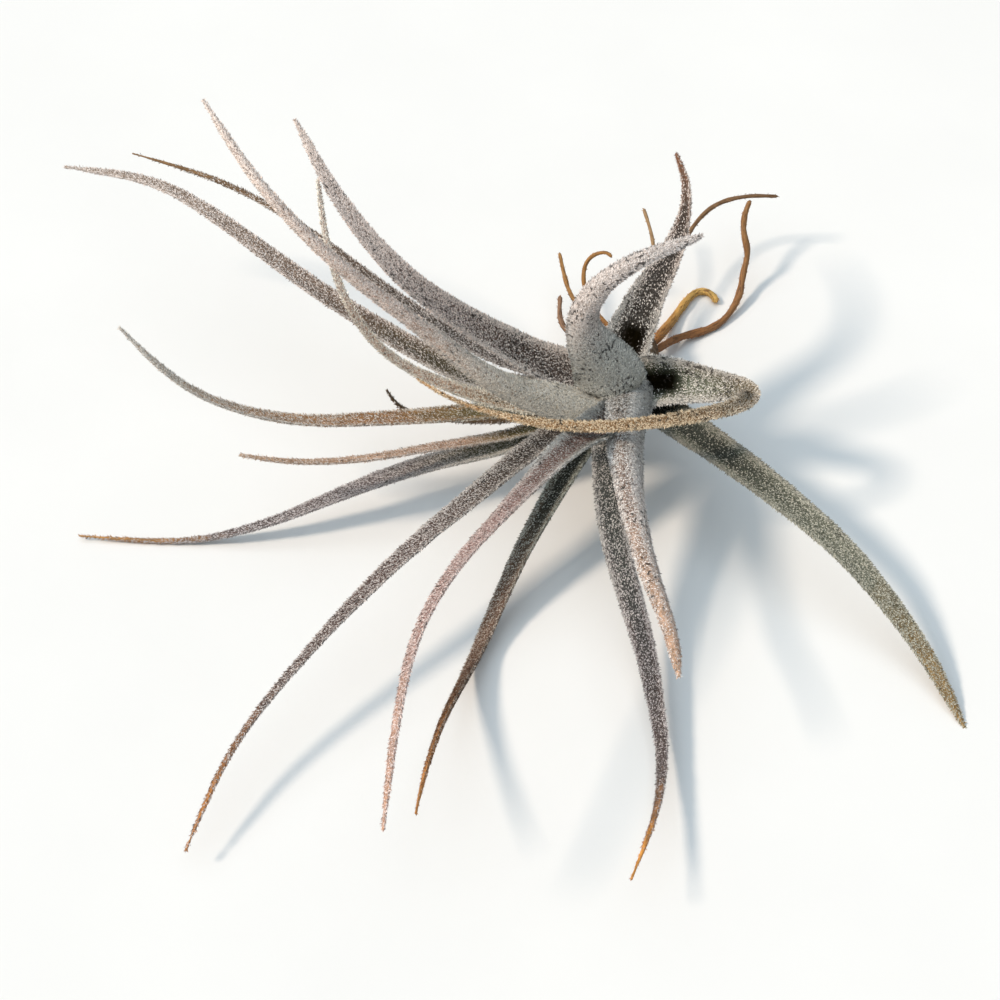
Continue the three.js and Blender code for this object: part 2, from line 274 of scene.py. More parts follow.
def evened_cuts(cuts):
    """A leaf's midline and section from its cuts. A nearly round cut says little of the way across."""
    across = [cuts[0]["across"]]
    for section in cuts[1:]:
        across.append(section["across"] * np.sign(section["across"] @ across[-1]))
    flatness = np.array([section["flatness"] for section in cuts])
    trust = np.clip(flatness - ROUND_FLATNESS, LEAST_TRUST, MOST_TRUST)
    across = units(smoothed(across, EVENING, trust, keep_ends=False))
    forward = -np.array([section["forward"] for section in cuts])
    up = units(np.cross(across, forward))
    rises = (np.array([section["margins"] for section in cuts]) * up).sum(axis=1)
    if rises.sum() < 0:
        across, up, rises = -across, -up, -rises
    width = smoothed([section["width"] for section in cuts], EVENING)
    area = smoothed([section["area"] for section in cuts], EVENING)
    depth = smoothed(np.clip(rises, 0, None), EVENING, keep_ends=False) / (1 - MIDDLE_RISE_SHARE)
    centre = np.array([section["centre"] for section in cuts])
    centre = smoothed(centre, EVENING) - up * (depth * MIDDLE_RISE_SHARE)[:, None]
    return centre, across, width, area / width, depth


# %% Draw a leaf on into the stem and out to its tip
STEM_POINTS = merged_solid("stem")[0]
BASE_REACH = 1.2
BEND_POINTS = 6
BEND_BACK = 4
BASE_WIDTH_SHARE = 0.5
BASE_CURL = 1.5
OPEN_SHEATHS = {
    # name: (millimetres from inside the stem to the end of its base, share of its width there)
    "leaf_front_white": ((2.2, 4.0, 0.6), 1.3),
}
WIDTH_UNDER_FELT = 0.9
TIP_WIDTH = 0.3
TIP_THICKNESS = 0.2


def into_the_stem(start, way, aside=(0, 0, 0)):
    """Points on a smooth bend from inside the stem, or aside from there, to where a part starts."""
    nearest = STEM_POINTS[np.argmin(np.linalg.norm(STEM_POINTS - start, axis=1))]
    inward = nearest - start
    length = np.linalg.norm(inward)
    end = nearest + inward / length * BASE_REACH + aside
    turn = start + way * length / 2
    share = np.linspace(0, 1, BEND_POINTS, endpoint=False)[:, None]
    return end * (1 - share) ** 2 + turn * 2 * share * (1 - share) + start * share ** 2


def with_ends(node, centre, across, width, thickness, depth, tip):
    """The same rows of a leaf, from inside the stem to the very tip."""
    aside, base_share = OPEN_SHEATHS.get(node, ((0, 0, 0), BASE_WIDTH_SHARE))
    bend = into_the_stem(centre[0], units((centre[0] - centre[BEND_BACK])[None])[0], aside)
    same = np.ones(len(bend))
    rounded = np.sqrt(np.linspace(base_share ** 2, 1, len(bend)))
    curled = np.linspace(BASE_CURL, 1, len(bend))
    width = np.concatenate([rounded * width[0], width, [TIP_WIDTH]])
    thickness = np.concatenate([same * thickness[0], thickness, [TIP_THICKNESS]])
    return {
        "centre": np.vstack([bend, centre, tip]),
        "across": np.vstack([np.outer(same, across[0]), across, across[-1]]),
        "width": width * WIDTH_UNDER_FELT,
        "thickness": thickness / MEAN_THICKNESS_SHARE,
        "depth": np.concatenate([curled * depth[0], depth, [0]]),
    }


# %% Set stations along every leaf
STATION_STEP = 0.45
MIDLINE_EVENING = 3
WIDTH_SHARES = {
    # name: (place along the leaf, share of the solid's width), where it has dried thin or opened out
    "leaf_upper_thin": ((0.3, 1), (0.6, 0.6), (1, 0.6)),
    "leaf_twisted": ((0.25, 1), (0.5, 0.75), (1, 0.75)),
    "leaf_left_low": ((0.45, 1), (0.8, 0.5), (1, 0.5)),
    "leaf_front_left": ((0.5, 1), (0.72, 0.72), (1, 0.72)),
    "leaf_front_olive": ((0.55, 1), (0.78, 0.7), (1, 0.7)),
    "leaf_front_dark": ((0.15, 1), (0.42, 1.3), (0.62, 1.25), (0.85, 1)),
    "leaf_right_folded": ((0.72, 1), (0.86, 0.5), (1, 0.4)),
}


def width_shares(node, along):
    """The share of the solid's width that a leaf has at places along it."""
    places, shares = zip(*WIDTH_SHARES.get(node, ((0, 1),)))
    return smoothed(np.interp(along, places, shares), EVENING)


def leaf_stations(node):
    """A leaf's midline and section, base first, at even steps along it."""
    tip, cuts = WALKS[node]
    rows = with_ends(node, *evened_cuts(whole_cuts(cuts)), tip)
    lengths = lengths_along(rows["centre"])
    wanted = np.linspace(0, lengths[-1], int(lengths[-1] / STATION_STEP))
    stations = {name: at_lengths(lengths, values, wanted) for name, values in rows.items()}
    stations["width"] *= width_shares(node, wanted / wanted[-1])
    stations["centre"] = smoothed(stations["centre"], MIDLINE_EVENING)
    stations["length"] = wanted
    stations["forward"] = units(np.gradient(stations["centre"], axis=0))
    side = stations["across"]
    side = side - stations["forward"] * (side * stations["forward"]).sum(axis=1)[:, None]
    stations["across"] = units(side)
    stations["up"] = np.cross(stations["across"], stations["forward"])
    return stations


STATIONS = {name: leaf_stations(name) for name in LEAVES}
for name, stations in STATIONS.items():
    print(f"{name}: {stations['length'][-1]:.1f} mm,",
          f"widest {stations['width'].max():.1f}, deepest {stations['depth'].max():.1f},",
          f"thickest {stations['thickness'].max():.2f}")

# %% [markdown]
# ## Leaf blades
# A leaf of this plant is a stiff strap, thick along its midrib and thin at its margins, which rise
# to make a channel. Its section is a parabola, so one rule draws every ring of every leaf: the rise
# goes with the square of the distance from the midrib. A loft of such rings is quicker and cleaner
# than sculpting. Each corner also remembers where it is on the leaf, as attributes, because the
# colours and the scales depend on that: "along" runs from the base to the tip, "inside" is 1 in the
# channel and 0 on the back, "edge" runs from the midrib to the margins, "leftward" from the right
# margin to the left one, "grain" is a place in millimetres for fibres that run along the leaf, with
# its two faces far apart, and "lean" is the way in which the scales point.

# %% Close a skin and make it a piece
def add_object(name, data):
    """An object in the scene for a mesh, a light or a camera."""
    made = bpy.data.objects.new(name, data)
    bpy.context.scene.collection.objects.link(made)
    return made


def closed_skin(rings, sides):
    """Faces between rings of points, with a fan of triangles over each end."""
    faces = []
    for ring in range(rings - 1):
        for side in range(sides):
            a = ring * sides + side
            b = ring * sides + (side + 1) % sides
            faces.append((a, a + sides, b + sides, b))
    first, last = rings * sides, rings * sides + 1
    for side in range(sides):
        following = (side + 1) % sides
        faces.append((first, side, following))
        faces.append((last, (rings - 1) * sides + following, (rings - 1) * sides + side))
    return faces


def new_piece(name, points, faces, attributes):
    """A smooth piece from points in millimetres, none under the floor, with its corners' attributes."""
    points[:, 2] = np.maximum(points[:, 2], 0)
    mesh = bpy.data.meshes.new(name)
    mesh.from_pydata((points * MM).tolist(), [], faces)
    for title, values in attributes.items():
        kind = "FLOAT" if values.ndim == 1 else "FLOAT_VECTOR"
        attribute = mesh.attributes.new(title, kind, "POINT")
        attribute.data.foreach_set("value" if kind == "FLOAT" else "vector", values.ravel())
    mesh.shade_smooth()
    return add_object(name, mesh)


# %% Work out the rings of a blade
FACE_POINTS = 13
MARGIN_ROUNDING = 8
RIPPLE = 0.035
RIPPLE_LENGTH = 2.6
RIPPLE_SEED = 7

acrosses = -np.cos(np.linspace(0, math.pi, FACE_POINTS))
RING_ACROSS = np.concatenate([acrosses, acrosses[-2:0:-1]])
RING_SIDE = np.concatenate([-np.ones(FACE_POINTS), np.ones(FACE_POINTS - 2)])
RING_SIDE[[0, FACE_POINTS - 1]] = 0
random = np.random.default_rng(RIPPLE_SEED)


def ripple(lengths):
    """A gentle random swell along a margin."""
    knots = np.arange(0, lengths[-1] + RIPPLE_LENGTH, RIPPLE_LENGTH)
    return np.interp(lengths, knots, random.uniform(-RIPPLE, RIPPLE, len(knots)))


def blade_rings(stations):
    """How far sideways and up each corner lies. u goes across, from -1 at a margin to 1."""
    left, right = ripple(stations["length"]), ripple(stations["length"])
    u = RING_ACROSS[None, :]
    half = stations["width"][:, None] / 2 * np.where(u < 0, 1 + left[:, None], 1 + right[:, None])
    thin = (1 - MARGIN_THINNING * u ** 2) * np.sqrt(np.clip(1 - u ** MARGIN_ROUNDING, 0, 1))
    rise = stations["depth"][:, None] * u ** 2
    rise = rise + RING_SIDE * stations["thickness"][:, None] / 2 * thin
    return half * u, rise


print("corners in a ring:", len(RING_ACROSS))

# %% Loft the blades
SIDE_OFFSET = 40
MARGIN_START = 0.72
OUTWARD_LEAN = 1.2
TIP_POINT = 0.1


def make_blade(name):
    """The finished blade of a leaf, closed at its base and its tip."""
    stations = STATIONS[name]
    sideways, rise = blade_rings(stations)
    lengths = stations["length"][:, None]
    u = RING_ACROSS[None, :]
    across, up, forward = (stations[title][:, None, :] for title in ("across", "up", "forward"))
    points = stations["centre"][:, None, :] + across * sideways[:, :, None] + up * rise[:, :, None]
    margin = np.clip((abs(u) - MARGIN_START) / (1 - MARGIN_START), 0, 1)
    lean = forward + across * (np.sign(u) * margin)[:, :, None] * OUTWARD_LEAN
    grain = np.stack(np.broadcast_arrays(sideways, lengths, RING_SIDE * SIDE_OFFSET), axis=2)
    tip = stations["centre"][-1] + stations["forward"][-1] * TIP_POINT

    def everywhere(values, at_caps):
        return np.concatenate([np.broadcast_to(values, rise.shape).ravel(), at_caps])

    attributes = {
        "along": everywhere(lengths / lengths[-1], [0, 1]),
        "inside": everywhere((RING_SIDE + 1) / 2, [0.5, 0.5]),
        "edge": everywhere(abs(u), [0, 0]),
        "leftward": everywhere(-u * np.sign(stations["across"][0, 0]), [0, 0]),
        "grain": np.vstack([grain.reshape(-1, 3), grain[[0, -1], 0]]),
        "lean": np.vstack([lean.reshape(-1, 3), stations["forward"][[0, -1]]]),
    }
    corners = np.vstack([points.reshape(-1, 3), stations["centre"][0], tip])
    return new_piece(name + "_blade", corners, closed_skin(*rise.shape), attributes)


BLADES = {name: make_blade(name) for name in LEAVES}
for name, blade in BLADES.items():
    low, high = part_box(name)
    corners = np.array([vertex.co[:] for vertex in blade.data.vertices])
    proud = max((np.array(low) - corners.min(axis=0)).max(),
                (corners.max(axis=0) - np.array(high)).max())
    print(f"{blade.name}: {len(blade.data.polygons)} faces, {proud / MM:.2f} mm past its solid's box")

# %% [markdown]
# ## The colours of the leaves
# Each leaf has its own colours, because leaves of this plant dry from the tip down and redden in
# the sun on one side. What the eye sees is two layers: a brown, grey or olive leaf, and the pale
# scales on it. So a finish gives the leaf's colour at its base, its middle and its tip, and how much
# of it the scales hide at the same places. Then it gives the colour of the channel, how far from the
# base the channel keeps it, and how much of its cover the channel keeps; this darker channel is partly
# its own colour and partly painted shade. The rest is for what only some leaves show: dark flecks,
# other scales at the tip than at the base, a left half with less cover, which shows darker, a hollow
# in the channel painted near-black as painted shade, and a tip that turns colour late. An alternative
# is a painted texture for each leaf, but a table and a few nodes stay sharp at any distance, and a
# change to one leaf is a change to one row.

# %% Name the colours
MIDDLE_PLACE = 0.42
NO_HOLLOW = (0, 0)


def srgb(code, tone=1.0):
    """A screen colour such as #8a7b6c as linear light, by the sRGB formula, times a tone."""
    channels = [int(code[i:i + 2], 16) / 255 for i in (1, 3, 5)]
    linear = [c / 12.92 if c <= 0.04045 else ((c + 0.055) / 1.055) ** 2.4 for c in channels]
    return (*[c * tone for c in linear], 1.0)


def finish(skin, cover, channel="#2f3318", channel_end=0.5, channel_cover=0.5, flecks=0.3,
           scales=("#e4dcd7", "#e4dcd7"), left_cover=1.0, hollow=NO_HOLLOW, tip_from=MIDDLE_PLACE):
    """One row of the table: colours as codes, covers and places as shares."""
    return {"skin": skin, "cover": cover, "channel": channel, "channel_end": channel_end,
            "channel_cover": channel_cover, "flecks": flecks, "scales": scales,
            "left_cover": left_cover, "hollow": hollow, "tip_from": tip_from}


# The channel colours below are partly each channel's own colour and partly painted shade.
FINISHES = {
    "leaf_upper_broad": finish(
        ("#58463a", "#5e463c", "#947c6c"), (0.6, 0.6, 0.75), "#4a3c34", 0.35,
        flecks=0.8, scales=("#f6eae0", "#f8e8de")),
    "leaf_upper_pale": finish(
        ("#a0967e", "#b0886c", "#a8948c"), (0.8, 0.66, 0.7),
        flecks=0.4, scales=("#fbf3e6", "#fceee4")),
    "leaf_upper_thin": finish(
        ("#5c5048", "#5e4c40", "#83633f"), (0.5, 0.4, 0.04), "#4c443c", 0.6, 0.8,
        flecks=0.6, scales=("#e4dcd7", "#dcd2ca")),
    "leaf_far_left": finish(
        ("#77705a", "#725c4a", "#8a7564"), (0.55, 0.36, 0.5), "#443e26", 0.46, 0.5,
        scales=("#f2eae2", "#efe3db")),
    "leaf_twisted": finish(
        ("#a88c6e", "#c0987a", "#c0a290"), (0.55, 0.55, 0.55), "#988062", 0.4, 0.8,
        flecks=0.5, scales=("#fbf3e2", "#fff6e8")),
    "leaf_left_curved": finish(
        ("#88804f", "#a4784c", "#b89f86"), (0.35, 0.3, 0.7), "#5e5a36", 0.4, 0.6,
        scales=("#eae6da", "#f4ece2"), tip_from=0.6),
    "leaf_left_slender": finish(
        ("#7e8056", "#bf9c84", "#ba987a"), (0.4, 0.42, 0.26), "#5c5e36", 0.4,
        flecks=0.5, scales=("#e4e2da", "#f0e4da")),
    "leaf_left_low": finish(
        ("#76785a", "#5c504e", "#c49050"), (0.62, 0.5, 0.16), "#5a5c38", 0.35, 0.7,
        flecks=0.5, scales=("#e8e3da", "#cec6c4"), tip_from=0.72),
    "leaf_left_short": finish(
        ("#5a4836", "#6a5842", "#48361f"), (0.2, 0.15, 0.1), "#5a4836", 0.3),
    "leaf_front_left": finish(
        ("#4e463c", "#543f38", "#b87a3c"), (0.44, 0.42, 0.2), "#38302a", 0.3, 0.6,
        flecks=0.6, scales=("#dcd4cc", "#d8cec8"), tip_from=0.74),
    "leaf_front_rosy": finish(
        ("#746a60", "#9a7870", "#d0a488"), (0.66, 0.58, 0.4), "#6e5046", 0.42, 0.6,
        flecks=0.6, scales=("#dcdad4", "#eedad2"), tip_from=0.7),
    "leaf_front_olive": finish(
        ("#44483a", "#6a4c3a", "#c08448"), (0.46, 0.32, 0.06), "#1c2016", 0.36, 0.4,
        scales=("#b4b6ac", "#c4b6a8"), tip_from=0.6),
    "leaf_front_dark": finish(
        ("#4a504e", "#4e423f", "#d89648"), (0.42, 0.42, 0.06), "#303634", 0.6, 0.6,
        scales=("#ccc8c4", "#ccc4c2"), tip_from=0.74),
    "leaf_front_white": finish(
        ("#78756e", "#8a7264", "#dcb494"), (0.8, 0.76, 0.35),
        flecks=0.7, scales=("#e4e2de", "#f8f0ea"), left_cover=0.55),
    "leaf_right_long": finish(
        ("#42463a", "#626454", "#9c7a46"), (0.46, 0.5, 0.3), "#20241c", 0.46, 0.35,
        scales=("#9c988c", "#bcb8a8"), tip_from=0.64),
    "leaf_right_folded": finish(
        ("#6c7260", "#7a5c3c", "#ac8152"), (0.55, 0.46, 0.42), "#626a55", 0.26, 0.75,
        flecks=0.8, scales=("#e4ded6", "#efd9b8"), hollow=(0, 0.1)),
    "leaf_top_arched": finish(
        ("#828278", "#a4948a", "#ae9c90"), (0.74, 0.66, 0.66),
        flecks=0.9, scales=("#e4e2da", "#f4eae4")),
    "leaf_top_channelled": finish(
        ("#57524a", "#463e38", "#764a2c"), (0.55, 0.42, 0.1), "#211c17", 0.95, 0.36,
        flecks=0.7, scales=("#e6e2dc", "#dccfc6"), hollow=(0.12, 0.2)),
}
print("finishes:", len(FINISHES), "missing:", set(LEAVES) - set(FINISHES))

# %% [markdown]
# ## How much the scales hide
# Cover is a number for each corner of a blade, worked out here and kept as the attribute "felt". It
# follows the finish along the leaf, drops deep in the channel, partly where scales grow thinnest and
# partly as painted shade, and rises along the margins, which look white. A hollow that is painted
# shade has no cover, and the attribute "deep" says where it is. Both the material of the blade and
# the tree that scatters the scales read the cover, so the two always agree.

# %% Work out the cover
HALFWAY_PLACE = 0.8
TIP_PLACE = 0.93
MARGIN_FELT = 0.8
CHANNEL_EDGES = (0.35, 0.8)
CHANNEL_COVER_FADE = (0.6, 1.3)
LEFT_FADE = (0.1, 0.35)
HOLLOW_FADE = 0.04


def ease(value, start, end):
    """0 before start and 1 after end, with a smooth rise between them."""
    share = np.clip((value - start) / (end - start), 0, 1)
    return share * share * (3 - 2 * share)


def store_cover(name):
    """Add the attributes "felt" and "deep" to a blade."""
    mesh = BLADES[name].data
    read = {}
    for title in ("along", "inside", "edge", "leftward"):
        read[title] = np.zeros(len(mesh.vertices))
        mesh.attributes[title].data.foreach_get("value", read[title])
    chosen = FINISHES[name]
    base, middle, tip = chosen["cover"]
    cover = np.interp(read["along"], [0, MIDDLE_PLACE, HALFWAY_PLACE, TIP_PLACE, 1],
                      [base, middle, (middle + tip) / 2, tip, tip])
    trough = read["inside"] * (1 - ease(read["edge"], *CHANNEL_EDGES))
    # Less cover in the channel near the base: partly thinner scales, partly painted shade.
    fade = (chosen["channel_end"] * share for share in CHANNEL_COVER_FADE)
    cover *= 1 - (1 - chosen["channel_cover"]) * trough * (1 - ease(read["along"], *fade))
    # Less cover on the left half of some leaves, so that half shows darker.
    cover *= 1 - (1 - chosen["left_cover"]) * ease(read["leftward"], *LEFT_FADE)
    cover = cover + MARGIN_FELT * ease(read["edge"], MARGIN_START, 1) * cover
    # A hollow is painted shade: no cover there, and near-black in the skin.
    start, end = chosen["hollow"]
    deep = trough * ease(read["along"], start - HOLLOW_FADE, start)
    deep *= 1 - ease(read["along"], end, end + HOLLOW_FADE)
    deep *= chosen["hollow"] != NO_HOLLOW
    cover *= 1 - deep
    for title, values in (("felt", cover), ("deep", deep)):
        stored = mesh.attributes.new(title, "FLOAT", "POINT")
        stored.data.foreach_set("value", np.clip(values, 0, 1))
    return cover.mean()


print("mean cover:", {name: round(store_cover(name), 2) for name in LEAVES})

# %% [markdown]
# ## The material of a blade
# A colour ramp that reads "along" carries the three colours of the skin. The channel keeps a darker
# or greener colour for some way from the base, partly its own colour and partly painted shade, so the
# inside is mixed towards it, and a hollow is mixed towards black and loses its gloss, as painted shade.
# Noise that reads "grain" is stretched along the leaf, like its fibres. Coarser noise scatters dark
# flecks in patches, where scales have come off. The finest noise is as small as the scales, and makes
# pale specks between the scales that stand up, so the felt looks closed.

# %% Build node trees with short helpers
FIRST_COLOUR, SECOND_COLOUR, MIXED_COLOUR = 6, 7, 2
NOISE_ROUGHNESS = 0.6


def new_material(name):
    """A material with its node tree, and its shader node."""
    material = bpy.data.materials.new(name)
    material.use_nodes = True
    return material, material.node_tree, material.node_tree.nodes["Principled BSDF"]


def fill(tree, socket, value):
    """Set an input to a value, or link another node's output to it."""
    if isinstance(value, bpy.types.NodeSocket):
        tree.links.new(value, socket)
    else:
        socket.default_value = value


def node(tree, kind, settings=None, **inputs):
    """A new node. Inputs are given by name, as values or as sockets to link from."""
    made = tree.nodes.new(kind)
    for key, value in (settings or {}).items():
        setattr(made, key, value)
    for key, value in inputs.items():
        fill(tree, made.inputs[key.replace("_", " ")], value)
    return made


def math_node(tree, operation, first, second, third=0.0):
    """The output of one sum."""
    made = tree.nodes.new("ShaderNodeMath")
    made.operation = operation
    for socket, value in zip(made.inputs, (first, second, third)):
        fill(tree, socket, value)
    return made.outputs[0]


def between(tree, value, low, high, first=0.0, last=1.0):
    """The output of a smooth step from first at low to last at high."""
    made = node(tree, "ShaderNodeMapRange", {"interpolation_type": "SMOOTHSTEP"}, Value=value,
                From_Min=low, From_Max=high, To_Min=first, To_Max=last)
    return made.outputs[0]


def mix_colour(tree, share, first, second, blend="MIX"):
    """The output of a mix of two colours."""
    made = node(tree, "ShaderNodeMix", {"data_type": "RGBA", "blend_type": blend}, Factor=share)
    fill(tree, made.inputs[FIRST_COLOUR], first)
    fill(tree, made.inputs[SECOND_COLOUR], second)
    return made.outputs[MIXED_COLOUR]


def attribute(tree, name, output="Fac"):
    """An attribute of the mesh."""
    return node(tree, "ShaderNodeAttribute", {"attribute_name": name}).outputs[output]


def noise(tree, place, scale, stretch=1.0, detail=3.0):
    """Noise with a number of grains to the millimetre, drawn out along the leaf by a stretch."""
    drawn = node(tree, "ShaderNodeVectorMath", {"operation": "MULTIPLY"})
    fill(tree, drawn.inputs[0], place)
    drawn.inputs[1].default_value = (1, 1 / stretch, 1)
    made = node(tree, "ShaderNodeTexNoise", Vector=drawn.outputs[0], Scale=scale, Detail=detail,
                Roughness=NOISE_ROUGHNESS)
    return made.outputs["Fac"]


def ramp(tree, value, stops):
    """A colour ramp with (place, colour) stops."""
    made = node(tree, "ShaderNodeValToRGB", Fac=value)
    elements = made.color_ramp.elements
    while len(elements) < len(stops):
        elements.new(1.0)
    for element, (place, colour) in zip(elements, stops):
        element.position = place
        element.color = colour
    return made.outputs["Color"]


def coat(tree, shader, colour, roughness, gloss=0.5):
    """Give a shader its colour, its roughness and its gloss."""
    fill(tree, shader.inputs["Base Color"], colour)
    shader.inputs["Roughness"].default_value = roughness
    shader.inputs["Specular IOR Level"].default_value = gloss


def emboss(tree, shader, height, strength, depth):
    """Give a shader a relief from a height, which is depth millimetres deep."""
    bump = node(tree, "ShaderNodeBump", Height=height, Strength=strength, Distance=depth * MM)
    fill(tree, shader.inputs["Normal"], bump.outputs[0])


# %% Paint the skin of a leaf
BASE_PLACE = 0.04
SKIN_WANDER = 0.3
MOTTLE_GRAINS = 0.5
FIBRE_GRAINS = 2.6
FIBRE_STRETCH = 7.0
FIBRE_TONES = (0.3, 0.7, 0.7, 1.25)  # low noise, high noise, tone at low, tone at high
CHANNEL_SHARE = 0.92
CHANNEL_COLOUR_FADE = (0.5, 1.15)
# Near-black painted shade for a hollow at the base of a channel.
HOLLOW_SHADE_COLOUR = srgb("#0d0a04")


def skin_colour(tree, chosen):
    """The colour of a leaf under its scales, and its fibres."""
    base, middle, tip = (srgb(code) for code in chosen["skin"])
    along = attribute(tree, "along")
    grain = attribute(tree, "grain", "Vector")
    fibres = noise(tree, grain, FIBRE_GRAINS, FIBRE_STRETCH)
    mottle = noise(tree, grain, MOTTLE_GRAINS, detail=4.0)
    wander = math_node(tree, "MULTIPLY_ADD", mottle, SKIN_WANDER, -SKIN_WANDER / 2)
    place = math_node(tree, "ADD", along, wander)
    colour = ramp(tree, place, [(BASE_PLACE, base), (MIDDLE_PLACE, middle),
                                (chosen["tip_from"], middle), (TIP_PLACE, tip)])
    # The channel's colour near the base: partly its own darker green, partly painted shade.
    trough = between(tree, attribute(tree, "edge"), *CHANNEL_EDGES, 1.0, 0.0)
    trough = math_node(tree, "MULTIPLY", trough, attribute(tree, "inside"))
    fade = (chosen["channel_end"] * share for share in CHANNEL_COLOUR_FADE)
    channel_colour_and_shade = math_node(tree, "MULTIPLY", trough, between(tree, along, *fade, CHANNEL_SHARE, 0.0))
    colour = mix_colour(tree, channel_colour_and_shade, colour, srgb(chosen["channel"]))
    # Painted shade: the hollow is mixed towards near-black.
    colour = mix_colour(tree, attribute(tree, "deep"), colour, HOLLOW_SHADE_COLOUR)
    return mix_colour(tree, 1.0, colour, between(tree, fibres, *FIBRE_TONES), "MULTIPLY"), fibres


# %% Add the dark flecks where scales have come off
FLECK_GRAINS = 3.2
FLECK_STRETCH = 1.3
FLECK_PATCH_GRAINS = 0.45
FLECK_PATCH_STRETCH = 1.5
FLECK_PATCH_WEIGHT = 0.6
FEWEST_FLECKS_FROM = 0.74
FLECKS_BY_SHARE = 0.16
FLECK_SOFTNESS = 0.06
FLECK_STRENGTH = 0.85
FLECK_COLOUR = srgb("#2b2622")


def flecked(tree, chosen, colour):
    """A colour with dark flecks, which come in patches. The finish says how many."""
    grain = attribute(tree, "grain", "Vector")
    flecks = noise(tree, grain, FLECK_GRAINS, FLECK_STRETCH, detail=1.5)
    patches = noise(tree, grain, FLECK_PATCH_GRAINS, FLECK_PATCH_STRETCH, detail=2.0)
    flecks = math_node(tree, "SUBTRACT", flecks, FLECK_PATCH_WEIGHT / 2)
    flecks = math_node(tree, "MULTIPLY_ADD", patches, FLECK_PATCH_WEIGHT, flecks)
    start = FEWEST_FLECKS_FROM - FLECKS_BY_SHARE * chosen["flecks"]
    share = between(tree, flecks, start, start + FLECK_SOFTNESS, 0.0, FLECK_STRENGTH)
    return mix_colour(tree, share, colour, FLECK_COLOUR)


# %% Add the specks of the smallest scales
SCALE_TURN = (0.2, 0.5)
SPECK_GRAINS = 4.5
SPECKS_FROM = 0.72
SPECKS_BY_FELT = -0.5
SPECK_SOFTNESS = 0.12
SPECK_STRENGTH = 0.8
SPECK_TONE = 0.8
SPECK_RELIEF = 0.6
SKIN_BUMP = 0.6
SKIN_BUMP_DEPTH = 0.1
SKIN_ROUGHNESS = 0.68
SKIN_GLOSS = 0.3


def scale_colour(tree, chosen, tone=1.0):
    """The colour of a leaf's scales, from base to tip."""
    base, tip = (srgb(code, tone) for code in chosen["scales"])
    return mix_colour(tree, between(tree, attribute(tree, "along"), *SCALE_TURN), base, tip)


def blade_material(name):
    """The skin of a leaf, with the pale specks of its smallest scales."""
    chosen = FINISHES[name]
    material, tree, shader = new_material(name + "_skin")
    colour, fibres = skin_colour(tree, chosen)
    specks = noise(tree, attribute(tree, "grain", "Vector"), SPECK_GRAINS, detail=2.0)
    bare = math_node(tree, "MULTIPLY_ADD", attribute(tree, "felt"), SPECKS_BY_FELT, SPECKS_FROM)
    full = math_node(tree, "ADD", bare, SPECK_SOFTNESS)
    pale = between(tree, specks, bare, full, 0.0, SPECK_STRENGTH)
    colour = mix_colour(tree, pale, colour, scale_colour(tree, chosen, SPECK_TONE))
    coat(tree, shader, flecked(tree, chosen, colour), SKIN_ROUGHNESS, SKIN_GLOSS)
    height = math_node(tree, "MULTIPLY_ADD", specks, SPECK_RELIEF, fibres)
    emboss(tree, shader, height, SKIN_BUMP, SKIN_BUMP_DEPTH)
    # The painted shade of a hollow also has no gloss.
    if chosen["hollow"] != NO_HOLLOW:
        gloss = math_node(tree, "MULTIPLY_ADD", attribute(tree, "deep"), -SKIN_GLOSS, SKIN_GLOSS)
        fill(tree, shader.inputs["Specular IOR Level"], gloss)
    return material


for name, blade in BLADES.items():
    blade.data.materials.append(blade_material(name))
print("blade materials:", len(BLADES))

# %% [markdown]
# ## The felt of scales
# The plant drinks through tiny scales that cover its leaves. Each one is a pointed flake about a
# fifth of a millimetre long, fixed at one end, and those at a margin are longer and point outwards
# as a fringe. There are hundreds of thousands of them, so they are scattered by Geometry Nodes:
# points on the blade, a flake on each point, turned so that it lies along "lean" and lifts a little
# off the skin. Hair would be the usual way, but a hair has no width to catch light, and two triangles
# do. Where the cover is low most flakes are see-through, so they take the colour of the skin under
# them, and only some are pale. Random numbers, one for each flake, choose which.

# %% Make one flake
FLAKE_LENGTH = 0.22
FLAKE_WIDTH = 0.11
WIDEST_PLACE = 0.45
FLAKE_DROOP = -0.02
FLAKE_TIP_LIFT = 0.12


def make_flake():
    """A pointed flake that lies along +Y, one unit long, folded along its middle."""
    half = FLAKE_WIDTH / FLAKE_LENGTH / 2
    points = [(0, 0, 0), (-half, WIDEST_PLACE, FLAKE_DROOP), (half, WIDEST_PLACE, FLAKE_DROOP),
              (0, 1, FLAKE_TIP_LIFT)]
    mesh = bpy.data.meshes.new("flake")
    mesh.from_pydata(points, [], [(0, 3, 1), (0, 2, 3)])
    return add_object("flake", mesh)


FLAKE = make_flake()
print("flake triangles:", len(FLAKE.data.polygons))

# %% Build the tree that scatters the flakes
SCATTER_INPUTS = [
    ("Flake", "NodeSocketObject", None),
    ("Scales", "NodeSocketMaterial", None),
    ("Density", "NodeSocketFloat", 88e6),
    ("Length", "NodeSocketFloat", FLAKE_LENGTH * MM),
    ("Lift", "NodeSocketFloat", 0.28),
    ("Seed", "NodeSocketInt", 1),
]
FULL_FELT = 0.3
MARGIN_DENSITY = 0.7
MARGIN_LENGTH = 0.6
SIZE_RANGE = (0.6, 1.25)
# A flake's pitch as a share of the tree's lift, then its roll and its swing in radians.
LEAST_SPIN = (0.2, -0.35, -0.8)
MOST_SPIN = (1.8, 0.35, 0.8)


